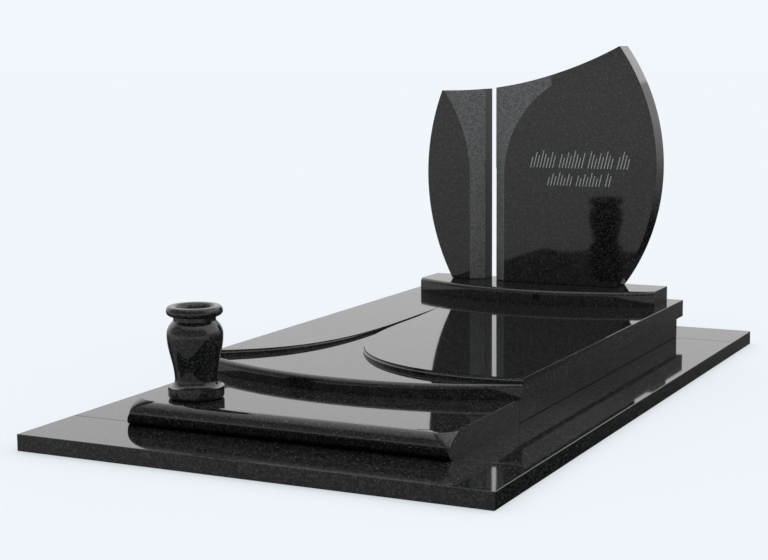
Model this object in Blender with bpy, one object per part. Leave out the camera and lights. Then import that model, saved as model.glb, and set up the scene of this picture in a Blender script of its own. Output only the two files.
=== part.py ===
"""Grave monument of black granite for one grave.

A surround of flat strips lies in the ground. A plinth of three stones and a front kerb with a
half-round nose stand on it, a carved ledger slab with a sunk, falling wave lies over them, and at
the head a low base carries two curved stele wings. A turned vase stands on the kerb.
Metres, +Z up. The origin is on the ground, in the middle of the surround, and -Y is the foot end.
"""

import math

import bmesh
import bpy
from mathutils import Vector

# Seams
JOINT = 0.0003
ARRIS = 0.0015

# Surround of flat strips, set on the ground
SURROUND_WIDTH = 1.400
SURROUND_LENGTH = 2.400
SURROUND_HEIGHT = 0.047
FRONT_STRIP_DEPTH = 0.253
BACK_STRIP_DEPTH = 0.242
SURROUND_LAP = 0.025

# Plinth stones and front kerb
PLINTH_WIDTH = 0.982
PLINTH_HEIGHT = 0.0697
PLINTH_STONE = 0.100
PLINTH_BACK_MARGIN = 0.222
KERB_FRONT_MARGIN = 0.199
KERB_DEPTH = 0.477
CUT_STEP = 0.003
RIGHT_CUT_ACROSS = 0.100
RIGHT_CUT_ALONG = 0.100
RIGHT_CUT_FALL = 0.050
RIGHT_CUT_EASE = 0.60
RIGHT_CUT_FLAT = 0.55
RIGHT_CUT_SPLAY = 0.0
LEFT_CUT_ACROSS = 0.085
LEFT_CUT_ALONG = 0.075
LEFT_CUT_FALL = 0.069
LEFT_CUT_EASE = 0.36
LEFT_CUT_FLAT = 0.95
LEFT_CUT_SPLAY = 0.50

# Ledger slab
LEDGER_HEIGHT = 0.0582
LEDGER_SIDE_OVERHANG = 0.011
LEDGER_BACK_OVERHANG = 0.036
LEDGER_CORNER_LAP = 0.007
LEDGER_BOW = 0.125
LEDGER_NOSE_LEFT = 0.018
LEDGER_NOSE_RIGHT = 0.008
VALLEY_SLOPE = 0.01555
VALLEY_LEFT_END = 0.026
VALLEY_RIGHT_END = 0.013

# The carved wave: points as shares of the slab's half width and of its length from the front
WAVE_START = (-0.450, 0.716)
WAVE_LEFT = [(-0.450, 0.424), (-0.327, 0.201)]
WAVE_RIGHT = [(-0.305, 0.492), (-0.697, 0.160), (0.231, 0.026)]

# Stele base
BASE_WIDTH = 0.908
BASE_HEIGHT = 0.0509
BASE_DEPTH = 0.273
BASE_BOW = 0.127
BASE_NOSE = 0.012
BASE_BACK_MARGIN = 0.037

# Stele wings, heights from the top of the base
WING_THICKNESS = 0.090
WING_BACK_MARGIN = 0.017
CROWN_RADIUS = 1.420
CROWN_LOW_X = -0.345
CROWN_LOW_HEIGHT = 0.690
FACET_DEPTH = 0.028

RIGHT_INNER_X = -0.169
RIGHT_OUTER_X = 0.441
RIGHT_OUTER_HEIGHT = 0.423
RIGHT_FOOT_INSET = 0.138
RIGHT_FACET_WIDTH = 0.042
RIGHT_FACET_STRAIGHT = 0.383
RIGHT_FACET_RADIUS = 0.385
RIGHT_FACET_TURN = math.radians(58.2)

LEFT_INNER_X = -0.2105
LEFT_OUTER_X = -0.4303
LEFT_OUTER_HEIGHT = 0.388
LEFT_FOOT_INSET = 0.098
LEFT_FACET_WIDTH = 0.0517
LEFT_FACET_STRAIGHT = 0.373
LEFT_FACET_RADIUS = 0.540
LEFT_FACET_TURN = math.radians(40.0)

# Rows of shallow strokes on the right wing: left end, length, foot and height of each row
STROKE_ROWS = [(0.142, 0.380, 0.418, 0.062), (0.207, 0.250, 0.355, 0.048)]
STROKE_DEPTH = 0.001
STROKE_WIDTH = 0.0035
STROKE_PITCH = 0.0120
STROKE_LEAN = 0.25
STROKES_PER_WORD = 8

# Turned vase, heights from its foot
VASE_SIDE_MARGIN = 0.158
VASE_FRONT_MARGIN = 0.129
VASE_HEIGHT = 0.258
VASE_WALL = 0.014
VASE_FLOOR = 0.033
FOOT_RADIUS = 0.078
FOOT_HEIGHT = 0.027
FOOT_EASE = 0.004
WAIST_RADIUS = 0.0588
WAIST_HEIGHT = 0.052
BELLY_RADIUS = 0.0782
BELLY_HEIGHT = 0.175
NECK_RADIUS = 0.0592
NECK_FOOT = 0.214
NECK_TOP = 0.228
LIP_RADIUS = 0.0786
LIP_HEIGHT = 0.243
MOUTH_RADIUS = 0.062

# Fineness of the curves
NOSE_STEPS = 12
CUT_STEPS = 12
FRONT_STEPS = 32
ROUND_STEPS = 4
WAVE_STEPS = 28
OUTLINE_STEPS = 20
FACET_STEPS = 24
VASE_TURN_STEPS = 40
VASE_CURVE_STEPS = 5

# Levels and lines that follow from the sizes above
SURROUND_FRONT = -SURROUND_LENGTH / 2
SURROUND_BACK = SURROUND_LENGTH / 2
PLINTH_FOOT = SURROUND_HEIGHT + JOINT
PLINTH_TOP = PLINTH_FOOT + PLINTH_HEIGHT
PLINTH_SIDE = PLINTH_WIDTH / 2
PLINTH_BACK = SURROUND_BACK - PLINTH_BACK_MARGIN
KERB_FRONT = SURROUND_FRONT + KERB_FRONT_MARGIN
KERB_BACK = KERB_FRONT + KERB_DEPTH
LEDGER_FOOT = PLINTH_TOP + JOINT
LEDGER_TOP = LEDGER_FOOT + LEDGER_HEIGHT
LEDGER_SIDE = PLINTH_SIDE + LEDGER_SIDE_OVERHANG
LEDGER_BACK = PLINTH_BACK + LEDGER_BACK_OVERHANG
LEDGER_CORNER = KERB_BACK - LEDGER_CORNER_LAP
LEDGER_FRONT = LEDGER_CORNER - LEDGER_BOW
LEDGER_LENGTH = LEDGER_BACK - LEDGER_FRONT
BASE_FOOT = LEDGER_TOP + JOINT
BASE_TOP = BASE_FOOT + BASE_HEIGHT
BASE_BACK = LEDGER_BACK - BASE_BACK_MARGIN
BASE_FRONT = BASE_BACK - BASE_DEPTH
WING_FOOT = BASE_TOP + JOINT
WING_BACK = BASE_BACK - WING_BACK_MARGIN
WING_FRONT = WING_BACK - WING_THICKNESS
VASE_FOOT = PLINTH_TOP + JOINT
VASE_X = -PLINTH_SIDE + VASE_SIDE_MARGIN
VASE_Y = KERB_FRONT + VASE_FRONT_MARGIN

POLISHED_BLACK = (0.016, 0.018, 0.021, 1.0)


def clear_scene():
    for obj in list(bpy.data.objects):
        bpy.data.objects.remove(obj, do_unlink=True)


def granite(name):
    """One polished black granite for the piece of this name."""
    material = bpy.data.materials.new(name + "_granite")
    material.use_nodes = True
    shader = material.node_tree.nodes["Principled BSDF"]
    shader.inputs["Base Color"].default_value = POLISHED_BLACK
    shader.inputs["Roughness"].default_value = 0.08
    shader.inputs["Metallic"].default_value = 0.0
    return material


def make_object(name, bm):
    """Turn a bmesh into an object with its faces pointing out."""
    bmesh.ops.recalc_face_normals(bm, faces=bm.faces)
    mesh = bpy.data.meshes.new(name)
    bm.to_mesh(mesh)
    bm.free()
    obj = bpy.data.objects.new(name, mesh)
    bpy.context.scene.collection.objects.link(obj)
    return obj


def make_stone(name, bm, smooth_angle=None):
    """One piece of the monument, with its own material."""
    obj = make_object(name, bm)
    obj.data.materials.append(granite(name))
    if smooth_angle is not None:
        obj.data.shade_smooth()
        obj.data.set_sharp_from_angle(angle=math.radians(smooth_angle))
    return obj


def cut(stone, cutter):
    """Take the cutter out of the stone and keep it as a hidden guide."""
    modifier = stone.modifiers.new("cut_" + cutter.name, "BOOLEAN")
    modifier.operation = "DIFFERENCE"
    modifier.solver = "EXACT"
    modifier.object = cutter
    cutter.hide_render = True
    cutter.display_type = "WIRE"


def add_block(bm, low, high):
    """A box between two corners."""
    made = bmesh.ops.create_cube(bm, size=1.0)
    middle = (Vector(low) + Vector(high)) / 2
    size = Vector(high) - Vector(low)
    bmesh.ops.scale(bm, vec=size, verts=made["verts"])
    bmesh.ops.translate(bm, vec=middle, verts=made["verts"])


def sawn_block(name, low, high):
    """A plain block with a small arris on every edge."""
    bm = bmesh.new()
    add_block(bm, low, high)
    bmesh.ops.bevel(bm, geom=bm.edges[:], offset=ARRIS, segments=1, affect="EDGES")
    return make_stone(name, bm)


def extrude_outline(bm, outline, shift):
    """Fill a flat outline of 3D points and extrude it by a vector."""
    face = bm.faces.new([bm.verts.new(point) for point in outline])
    made = bmesh.ops.extrude_face_region(bm, geom=[face])
    moved = [item for item in made["geom"] if isinstance(item, bmesh.types.BMVert)]
    bmesh.ops.translate(bm, vec=Vector(shift), verts=moved)


def bridge_rings(bm, rings):
    """Skin a stack of rings with equal point counts and close both ends."""
    loops = [[bm.verts.new(point) for point in ring] for ring in rings]
    count = len(loops[0])
    for lower, upper in zip(loops[:-1], loops[1:]):
        for i in range(count):
            j = (i + 1) % count
            bm.faces.new((lower[i], lower[j], upper[j], upper[i]))
    bm.faces.new(loops[0])
    bm.faces.new(loops[-1])


def bow_radius(half_width, bow):
    """Radius of an arc that bows out by this much over its half width."""
    return (half_width ** 2 + bow ** 2) / (2 * bow)


def bow_front(x, front, half_width, bow):
    """Place along Y of a bowed front edge whose foremost point is in the middle."""
    radius = bow_radius(half_width, bow)
    return front + radius - math.sqrt(radius ** 2 - x ** 2)


def bezier_point(points, share):
    """Point on a Bezier curve of any degree."""
    row = [Vector(point) for point in points]
    while len(row) > 1:
        row = [a.lerp(b, share) for a, b in zip(row[:-1], row[1:])]
    return row[0]


def bezier(points, steps):
    return [bezier_point(points, i / steps) for i in range(steps + 1)]


# Surround and plinth

def build_surround():
    """Front and back strips run the full width, and the side strips fit between them."""
    side = SURROUND_WIDTH / 2
    inner = PLINTH_SIDE - SURROUND_LAP
    front_joint = SURROUND_FRONT + FRONT_STRIP_DEPTH
    back_joint = SURROUND_BACK - BACK_STRIP_DEPTH
    sawn_block("surround_front", (-side, SURROUND_FRONT, 0), (side, front_joint, SURROUND_HEIGHT))
    sawn_block("surround_back", (-side, back_joint, 0), (side, SURROUND_BACK, SURROUND_HEIGHT))
    for name, start, end in (("surround_left", -side, -inner), ("surround_right", inner, side)):
        low = (start, front_joint + JOINT, 0)
        high = (end, back_joint - JOINT, SURROUND_HEIGHT)
        sawn_block(name, low, high)


def build_plinth():
    """Two side stones behind the kerb and one stone between them at the head."""
    inner = PLINTH_SIDE - PLINTH_STONE
    start = KERB_BACK + JOINT
    for name, low_x, high_x in (("plinth_left", -PLINTH_SIDE, -inner),
                                ("plinth_right", inner, PLINTH_SIDE)):
        sawn_block(name, (low_x, start, PLINTH_FOOT), (high_x, PLINTH_BACK, PLINTH_TOP))
    low = (-inner + JOINT, PLINTH_BACK - PLINTH_STONE, PLINTH_FOOT)
    high = (inner - JOINT, PLINTH_BACK, PLINTH_TOP)
    sawn_block("plinth_back", low, high)


# Front kerb

def kerb_profile():
    """Section of the kerb in the YZ plane: a flat top and back, and a half-round nose."""
    radius = PLINTH_HEIGHT / 2
    centre_y = KERB_FRONT + radius
    centre_z = PLINTH_FOOT + radius
    points = [(KERB_BACK, PLINTH_TOP)]
    for i in range(NOSE_STEPS + 1):
        angle = math.pi / 2 + math.pi * i / NOSE_STEPS
        points.append((centre_y + radius * math.cos(angle), centre_z + radius * math.sin(angle)))
    points.append((KERB_BACK, PLINTH_FOOT))
    return points


def nose_front_at(drop):
    """Place along Y of the nose's surface, this far below the kerb's top."""
    radius = PLINTH_HEIGHT / 2
    return KERB_FRONT + radius - math.sqrt(max(radius ** 2 - (radius - drop) ** 2, 0.0))


def cut_level(share, fall, ease, flat):
    """Height of the corner cut at this share of the way from its tip to its top line."""
    below = PLINTH_TOP - CUT_STEP
    if share <= flat:
        return below - (fall - CUT_STEP) * (1 - (share / flat) ** ease)
    return below + CUT_STEP / 2 * (share - flat) / (1 - flat)


def corner_cutter(name, side, across, along, fall, ease, flat, splay):
    """The cut at a front corner: an arc on the top face that swells down to a tip on the nose."""
    tip_x = side * (PLINTH_SIDE + ARRIS)
    tip_y = nose_front_at(fall)
    reach = 3 * along
    bm = bmesh.new()

    def ring(share, z):
        points = []
        for i in range(CUT_STEPS + 1):
            angle = math.pi / 2 * i / CUT_STEPS
            x = side * (PLINTH_SIDE - across * (1 - math.sin(angle)))
            y = KERB_FRONT + PLINTH_HEIGHT / 2 + along * (1 - math.cos(angle))
            points.append((tip_x + (x - tip_x) * share, tip_y + (y - tip_y) * share))
        points.append((points[-1][0] + side * reach, points[-1][1]))
        points.append((tip_x + side * 2 * reach, tip_y - reach))
        points.append((points[0][0] - side * splay * reach, tip_y - reach))
        return [bm.verts.new((x, y, z)) for x, y in points]

    rows = []
    for k in range(1, CUT_STEPS + 1):
        share = (k / CUT_STEPS) ** 1.5
        rows.append(ring(share, cut_level(share, fall, ease, flat)))
    rows.append(ring(1.0, PLINTH_TOP + reach))
    tip = bm.verts.new((tip_x, tip_y, PLINTH_TOP - fall))
    for a, b in zip(rows[0], rows[0][1:] + rows[0][:1]):
        bm.faces.new((tip, a, b))
    for lower, upper in zip(rows[:-1], rows[1:]):
        for i in range(len(lower)):
            j = (i + 1) % len(lower)
            bm.faces.new((lower[i], lower[j], upper[j], upper[i]))
    bm.faces.new(rows[-1])
    return make_object(name, bm)


def build_kerb():
    bm = bmesh.new()
    outline = [(-PLINTH_SIDE, y, z) for y, z in kerb_profile()]
    extrude_outline(bm, outline, (PLINTH_WIDTH, 0, 0))
    kerb = make_stone("front_kerb", bm, 25)
    cut(kerb, corner_cutter("right_corner_guide", 1, RIGHT_CUT_ACROSS, RIGHT_CUT_ALONG,
                            RIGHT_CUT_FALL, RIGHT_CUT_EASE, RIGHT_CUT_FLAT, RIGHT_CUT_SPLAY))
    cut(kerb, corner_cutter("left_corner_guide", -1, LEFT_CUT_ACROSS, LEFT_CUT_ALONG,
                            LEFT_CUT_FALL, LEFT_CUT_EASE, LEFT_CUT_FLAT, LEFT_CUT_SPLAY))


# Ledger slab

def wave_point(share):
    """A point of the wave, from shares of the slab's half width and length."""
    return Vector((share[0] * LEDGER_SIDE, LEDGER_FRONT + share[1] * LEDGER_LENGTH))


def wave_line(middle, end):
    points = [wave_point(WAVE_START)] + [wave_point(share) for share in middle] + [end]
    return bezier(points, WAVE_STEPS)


def valley_floor(y):
    """Height of the sunk floor, which falls towards the foot end."""
    return LEDGER_TOP - VALLEY_SLOPE * (wave_point(WAVE_START).y - y)


def ledger_nose(x):
    """Radius of the rounded front edge, larger on the left."""
    share = min(max(x / LEDGER_SIDE, 0.0), 1.0)
    return LEDGER_NOSE_LEFT + (LEDGER_NOSE_RIGHT - LEDGER_NOSE_LEFT) * share


def front_column(x):
    """Points down the slab's front edge at one place across it, from the floor to the foot."""
    y = bow_front(x, LEDGER_FRONT, LEDGER_SIDE, LEDGER_BOW)
    radius = ledger_nose(x)
    top = valley_floor(y + radius)
    column = []
    for i in range(ROUND_STEPS + 1):
        angle = math.pi / 2 * i / ROUND_STEPS
        inset = radius * (1 - math.sin(angle))
        column.append((x, y + inset, top - radius * (1 - math.cos(angle))))
    column.append((x, y, LEDGER_FOOT))
    return column


def build_ledger():
    """The slab with its sunk wave, made face by face around the two wave lines."""
    bm = bmesh.new()
    xs = [LEDGER_SIDE * (2 * i / FRONT_STEPS - 1) for i in range(FRONT_STEPS + 1)]
    columns = [[bm.verts.new(point) for point in front_column(x)] for x in xs]
    for left, right in zip(columns[:-1], columns[1:]):
        for k in range(len(left) - 1):
            bm.faces.new((left[k], left[k + 1], right[k + 1], right[k]))
    start = bm.verts.new((*wave_point(WAVE_START), LEDGER_TOP))
    ends = {-1: VALLEY_LEFT_END, 1: VALLEY_RIGHT_END}
    upper = {}
    lower = {}
    for side, middle in ((-1, WAVE_LEFT), (1, WAVE_RIGHT)):
        line = wave_line(middle, Vector((side * LEDGER_SIDE, LEDGER_CORNER + ends[side])))
        upper[side] = [start] + [bm.verts.new((p.x, p.y, LEDGER_TOP)) for p in line[1:]]
        lower[side] = [start] + [bm.verts.new((p.x, p.y, valley_floor(p.y))) for p in line[1:]]
        bm.faces.new((start, upper[side][1], lower[side][1]))
        for k in range(1, WAVE_STEPS):
            top, foot = upper[side], lower[side]
            bm.faces.new((top[k], top[k + 1], foot[k + 1], foot[k]))
    back = {}
    for side in (-1, 1):
        x = side * LEDGER_SIDE
        back[side] = [bm.verts.new((x, LEDGER_BACK, z)) for z in (LEDGER_TOP, LEDGER_FOOT)]
    bm.faces.new(upper[-1] + [back[-1][0], back[1][0]] + upper[1][:0:-1])
    bm.faces.new(lower[-1] + [column[0] for column in columns] + lower[1][:0:-1])
    for side, column in ((-1, columns[0]), (1, columns[-1])):
        bm.faces.new([upper[side][-1]] + back[side] + column[::-1] + [lower[side][-1]])
    bm.faces.new(back[-1] + back[1][::-1])
    bm.faces.new([column[-1] for column in columns] + [back[1][1], back[-1][1]])
    make_stone("ledger_slab", bm, 25)


# Stele base

def base_column(x):
    """Points down the base's front at one place across it, with a rounded top edge."""
    y = bow_front(x, BASE_FRONT, BASE_WIDTH / 2, BASE_BOW)
    column = []
    for i in range(ROUND_STEPS + 1):
        angle = math.pi / 2 * i / ROUND_STEPS
        inset = BASE_NOSE * (1 - math.sin(angle))
        column.append((x, y + inset, BASE_TOP - BASE_NOSE * (1 - math.cos(angle))))
    column.append((x, y, BASE_FOOT))
    return column


def build_base():
    bm = bmesh.new()
    half = BASE_WIDTH / 2
    rings = []
    for i in range(FRONT_STEPS + 1):
        x = half * (2 * i / FRONT_STEPS - 1)
        rings.append(base_column(x) + [(x, BASE_BACK, BASE_FOOT), (x, BASE_BACK, BASE_TOP)])
    bridge_rings(bm, rings)
    bmesh.ops.dissolve_limit(bm, angle_limit=0.001, verts=bm.verts, edges=bm.edges)
    make_stone("stele_base", bm, 25)


# Stele wings

def outer_x(height, reach, middle, inset):
    """Outer side of a wing: an arc that is widest at its middle height."""
    radius = bow_radius(middle, inset)
    bend = radius - math.sqrt(radius ** 2 - (height - middle) ** 2)
    return reach - math.copysign(bend, reach)


def crown_height(x):
    """Height of the wings' hollow top line, one arc over both wings."""
    return CROWN_LOW_HEIGHT + CROWN_RADIUS - math.sqrt(CROWN_RADIUS ** 2 - (x - CROWN_LOW_X) ** 2)


def crown_corner(reach, middle, inset):
    """Height at which the outer side meets the top line, found by halving."""
    low, high = middle, 2 * CROWN_LOW_HEIGHT
    high = min(high, middle + bow_radius(middle, inset) * 0.95)
    for _ in range(40):
        height = (low + high) / 2
        if height < crown_height(outer_x(height, reach, middle, inset)):
            low = height
        else:
            high = height
    return low


def wing_outline(inner, reach, middle, inset):
    """Front outline of a wing as (x, height) points."""
    corner = crown_corner(reach, middle, inset)
    corner_x = outer_x(corner, reach, middle, inset)
    points = [(inner, 0.0)]
    for i in range(OUTLINE_STEPS + 1):
        height = corner * i / OUTLINE_STEPS
        points.append((outer_x(height, reach, middle, inset), height))
    for i in range(1, OUTLINE_STEPS + 1):
        x = corner_x + (inner - corner_x) * i / OUTLINE_STEPS
        points.append((x, crown_height(x)))
    return points


def facet_line(inner, width, straight, radius, turn, top):
    """The facet's crest on the front face: upright, then an arc, then straight on."""
    side = math.copysign(1.0, width)
    crest = inner + width
    line = [(crest, -straight), (crest, straight)]
    for i in range(1, FACET_STEPS + 1):
        angle = turn * i / FACET_STEPS
        x = crest + side * radius * (1 - math.cos(angle))
        line.append((x, straight + radius * math.sin(angle)))
    end_x, end_height = line[-1]
    rest = max(top - end_height, radius / FACET_STEPS)
    line.append((end_x + side * rest * math.tan(turn), end_height + rest))
    return line


def facet_cutter(name, inner, line):
    """Wedge in front of the facet, which slopes back from its crest to the inner edge."""
    bm = bmesh.new()
    rings = []
    for crest, height in line:
        slope = FACET_DEPTH / (crest - inner)
        step = math.copysign(2 * FACET_DEPTH, crest - inner)
        z = WING_FOOT + height
        rings.append([
            (crest + step, WING_FRONT - step * slope, z),
            (inner - step, WING_FRONT + FACET_DEPTH + step * slope, z),
            (inner - step, WING_FRONT - WING_THICKNESS, z),
            (crest + step, WING_FRONT - WING_THICKNESS, z),
        ])
    bridge_rings(bm, rings)
    return make_object(name, bm)


def build_wing(name, inner, reach, middle, inset, facet):
    bm = bmesh.new()
    points = wing_outline(inner, reach, middle, inset)
    outline = [(x, WING_FRONT, WING_FOOT + height) for x, height in points]
    extrude_outline(bm, outline, (0, WING_THICKNESS, 0))
    wing = make_stone(name, bm, 25)
    top = max(height for _, height in points) + FACET_DEPTH
    line = facet_line(inner, *facet, top)
    cut(wing, facet_cutter(name + "_facet_guide", inner, line))
    return wing


def add_stroke(bm, x, foot, height):
    """One slanting groove in the front face of the right wing."""
    lean = STROKE_LEAN * height
    front = WING_FRONT - STROKE_DEPTH
    corners = [(x, foot), (x + STROKE_WIDTH, foot)]
    corners += [(x + STROKE_WIDTH + lean, foot + height), (x + lean, foot + height)]
    extrude_outline(bm, [(a, front, WING_FOOT + b) for a, b in corners], (0, 2 * STROKE_DEPTH, 0))


def stroke_cutter():
    """Rows of strokes of changing height, set in groups."""
    bm = bmesh.new()
    for row_start, row_length, row_foot, row_height in STROKE_ROWS:
        for i in range(int(row_length / STROKE_PITCH)):
            if i % (STROKES_PER_WORD + 1) == STROKES_PER_WORD:
                continue
            height = row_height * (0.6 + 0.1 * (3 * i % 5))
            add_stroke(bm, RIGHT_INNER_X + row_start + i * STROKE_PITCH, row_foot, height)
    return make_object("stroke_guide", bm)


def build_wings():
    facet = (RIGHT_FACET_WIDTH, RIGHT_FACET_STRAIGHT, RIGHT_FACET_RADIUS, RIGHT_FACET_TURN)
    right = build_wing("stele_wing_right", RIGHT_INNER_X, RIGHT_OUTER_X, RIGHT_OUTER_HEIGHT,
                       RIGHT_FOOT_INSET, facet)
    cut(right, stroke_cutter())
    facet = (-LEFT_FACET_WIDTH, LEFT_FACET_STRAIGHT, LEFT_FACET_RADIUS, LEFT_FACET_TURN)
    build_wing("stele_wing_left", LEFT_INNER_X, LEFT_OUTER_X, LEFT_OUTER_HEIGHT,
               LEFT_FOOT_INSET, facet)


# Vase

def quarter(start, end, upright_start):
    """Quarter ellipse between two (radius, height) points, without its first point."""
    points = []
    for i in range(1, VASE_CURVE_STEPS + 1):
        angle = math.pi / 2 * i / VASE_CURVE_STEPS
        fall, rise = math.cos(angle), math.sin(angle)
        if not upright_start:
            fall, rise = 1 - rise, 1 - fall
        radius = end[0] + (start[0] - end[0]) * fall
        points.append((radius, start[1] + (end[1] - start[1]) * rise))
    return points


def half_wave(start, end, steps):
    """Smooth swell between two (radius, height) points, without its first point."""
    points = []
    for i in range(1, steps + 1):
        share = i / steps
        swell = (1 - math.cos(math.pi * share)) / 2
        radius = start[0] + (end[0] - start[0]) * swell
        points.append((radius, start[1] + (end[1] - start[1]) * share))
    return points


def vase_outside():
    """Outer profile from the middle of the foot to the top of the lip."""
    points = [(0.0, 0.0), (FOOT_RADIUS - FOOT_EASE, 0.0)]
    points += quarter(points[-1], (FOOT_RADIUS, FOOT_EASE), False)
    points.append((FOOT_RADIUS, FOOT_HEIGHT))
    points += quarter((FOOT_RADIUS, FOOT_HEIGHT), (WAIST_RADIUS, WAIST_HEIGHT), False)
    points += half_wave(points[-1], (BELLY_RADIUS, BELLY_HEIGHT), 2 * VASE_CURVE_STEPS)
    points += quarter(points[-1], (NECK_RADIUS, NECK_FOOT), True)
    points.append((NECK_RADIUS, NECK_TOP))
    points += quarter(points[-1], (LIP_RADIUS, LIP_HEIGHT), False)
    points += quarter(points[-1], (MOUTH_RADIUS + VASE_WALL / 2, VASE_HEIGHT), True)
    return points


def vase_inside():
    """Inner profile from the mouth down to the middle of the floor, one wall inside the outer."""
    throat = NECK_RADIUS - VASE_WALL
    waist = WAIST_RADIUS - VASE_WALL
    points = [(MOUTH_RADIUS, VASE_HEIGHT)]
    points += quarter(points[-1], (throat, NECK_TOP), False)
    points.append((throat, NECK_FOOT - VASE_WALL / 2))
    points += quarter(points[-1], (BELLY_RADIUS - VASE_WALL, BELLY_HEIGHT), False)
    points += half_wave(points[-1], (waist, WAIST_HEIGHT), 2 * VASE_CURVE_STEPS)
    points += quarter(points[-1], (0.0, VASE_FLOOR), True)
    return points


def build_vase():
    """The hollow profile turned once around its own axis."""
    bm = bmesh.new()
    profile = vase_outside() + vase_inside()
    verts = [bm.verts.new((radius, 0.0, height)) for radius, height in profile]
    edges = [bm.edges.new(pair) for pair in zip(verts[:-1], verts[1:])]
    bmesh.ops.spin(bm, geom=verts + edges, cent=(0, 0, 0), axis=(0, 0, 1), dvec=(0, 0, 0),
                   angle=2 * math.pi, steps=VASE_TURN_STEPS, use_duplicate=False)
    bmesh.ops.remove_doubles(bm, verts=bm.verts, dist=0.00001)
    vase = make_stone("vase", bm, 35)
    vase.location = (VASE_X, VASE_Y, VASE_FOOT)


def main():
    clear_scene()
    build_surround()
    build_plinth()
    build_kerb()
    build_ledger()
    build_base()
    build_wings()
    build_vase()


main()
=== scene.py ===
"""Looks of a grave monument of polished black granite, built around its packed solids."""

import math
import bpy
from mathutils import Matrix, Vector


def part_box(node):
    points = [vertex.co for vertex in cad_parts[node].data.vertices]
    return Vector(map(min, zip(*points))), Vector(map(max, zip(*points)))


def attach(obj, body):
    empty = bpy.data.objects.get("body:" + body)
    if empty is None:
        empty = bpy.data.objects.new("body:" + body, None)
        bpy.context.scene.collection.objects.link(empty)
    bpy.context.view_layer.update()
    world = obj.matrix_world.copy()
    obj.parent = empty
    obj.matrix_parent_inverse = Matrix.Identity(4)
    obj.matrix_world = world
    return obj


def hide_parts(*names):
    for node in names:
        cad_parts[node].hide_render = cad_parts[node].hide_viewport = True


bl_info = {
    "name": "Grave monument",
    "version": (1, 0, 0),
    "blender": (4, 5, 0),
    "location": "View3D > Sidebar > Monument",
    "description": "Dresses a grave monument of black granite and sets it in a plain studio",
    "category": "Object",
}

import bmesh
import bpy
from mathutils import Matrix, Vector

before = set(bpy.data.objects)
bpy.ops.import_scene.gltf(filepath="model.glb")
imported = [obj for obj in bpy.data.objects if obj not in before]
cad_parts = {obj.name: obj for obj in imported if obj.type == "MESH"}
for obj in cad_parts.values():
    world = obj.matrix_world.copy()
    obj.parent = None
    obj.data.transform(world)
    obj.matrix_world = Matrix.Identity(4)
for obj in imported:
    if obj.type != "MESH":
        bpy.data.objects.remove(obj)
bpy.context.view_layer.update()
BODY = "root"
MM = 0.001

# Camera of the photograph, solved from the straight edges of the stones
CAMERA_PLACE = (2.1445, -4.6696, 1.0787)
CAMERA_YAW = 0.4623
CAMERA_PITCH = -0.1405
CAMERA_ROLL = -0.0082
FOCAL_PIXELS = 1652.72
IMAGE_WIDTH = 768
SENSOR_WIDTH = 36.0

# Places and sizes that follow from the packed solids
KERB_LOW, KERB_HIGH = [Vector(corner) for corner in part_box("front_kerb")]
LEDGER_LOW, LEDGER_HIGH = [Vector(corner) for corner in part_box("ledger_slab")]
BASE_LOW, BASE_HIGH = [Vector(corner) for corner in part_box("stele_base")]
RIGHT_LOW, RIGHT_HIGH = [Vector(corner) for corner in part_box("stele_wing_right")]
LEFT_LOW, LEFT_HIGH = [Vector(corner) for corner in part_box("stele_wing_left")]
VASE_LOW, VASE_HIGH = [Vector(corner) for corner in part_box("vase")]

PLINTH_STONES = ("plinth_left", "plinth_right", "plinth_back")
SURROUND_STONES = ("surround_front", "surround_back", "surround_left", "surround_right")


def linear(value):
    """Linear colour of an sRGB hex value, with full alpha."""
    channels = [int(value[i:i + 2], 16) / 255 for i in (1, 3, 5)]
    bent = [c / 12.92 if c <= 0.04045 else ((c + 0.055) / 1.055) ** 2.4 for c in channels]
    return (*bent, 1.0)


# Settings

class StageSettings(bpy.types.PropertyGroup):
    """The plain studio around the monument."""

    backdrop: bpy.props.FloatVectorProperty(
        name="Backdrop", description="Colour of the backdrop and of the lit floor",
        subtype="COLOR", size=4, min=0.0, max=1.0, default=linear("#f1f6fc"))
    dome: bpy.props.FloatProperty(
        name="Dome", description="Brightness of the soft light all round",
        default=1.0, min=0.0, max=10.0)
    glow: bpy.props.FloatProperty(
        name="Glow", description="Share of the floor's light that comes from beneath it",
        subtype="FACTOR", default=0.5, min=0.0, max=1.0)
    floor_reach: bpy.props.FloatProperty(
        name="Floor reach", description="Half width of the floor",
        unit="LENGTH", default=60.0, min=3.0)


class GraniteSettings(bpy.types.PropertyGroup):
    """The black granite and its grain."""

    ground: bpy.props.FloatVectorProperty(
        name="Ground", description="Darkest colour of the granite",
        subtype="COLOR", size=4, min=0.0, max=1.0, default=linear("#0e0f0e"))
    veil: bpy.props.FloatVectorProperty(
        name="Veil", description="Colour of the paler grains in the ground",
        subtype="COLOR", size=4, min=0.0, max=1.0, default=linear("#232523"))
    glint: bpy.props.FloatVectorProperty(
        name="Glint", description="Colour of the palest grains in the ground",
        subtype="COLOR", size=4, min=0.0, max=1.0, default=linear("#3d3f3e"))
    honed: bpy.props.FloatVectorProperty(
        name="Honed", description="Colour of the honed facets",
        subtype="COLOR", size=4, min=0.0, max=1.0, default=linear("#555757"))
    honed_veil: bpy.props.FloatVectorProperty(
        name="Honed veil", description="Colour of the paler grains in the honed facets",
        subtype="COLOR", size=4, min=0.0, max=1.0, default=linear("#787a7a"))
    fill: bpy.props.FloatVectorProperty(
        name="Stroke fill", description="Colour of the paint in the cut strokes",
        subtype="COLOR", size=4, min=0.0, max=1.0, default=linear("#d4d7d8"))
    grain_mm: bpy.props.FloatProperty(
        name="Grain", description="Size of the granite's grains in millimetres",
        default=4.0, min=0.5, max=20.0)
    speck_mm: bpy.props.FloatProperty(
        name="Specks", description="Spacing of the bright specks in millimetres",
        default=9.0, min=1.0, max=60.0)


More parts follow.
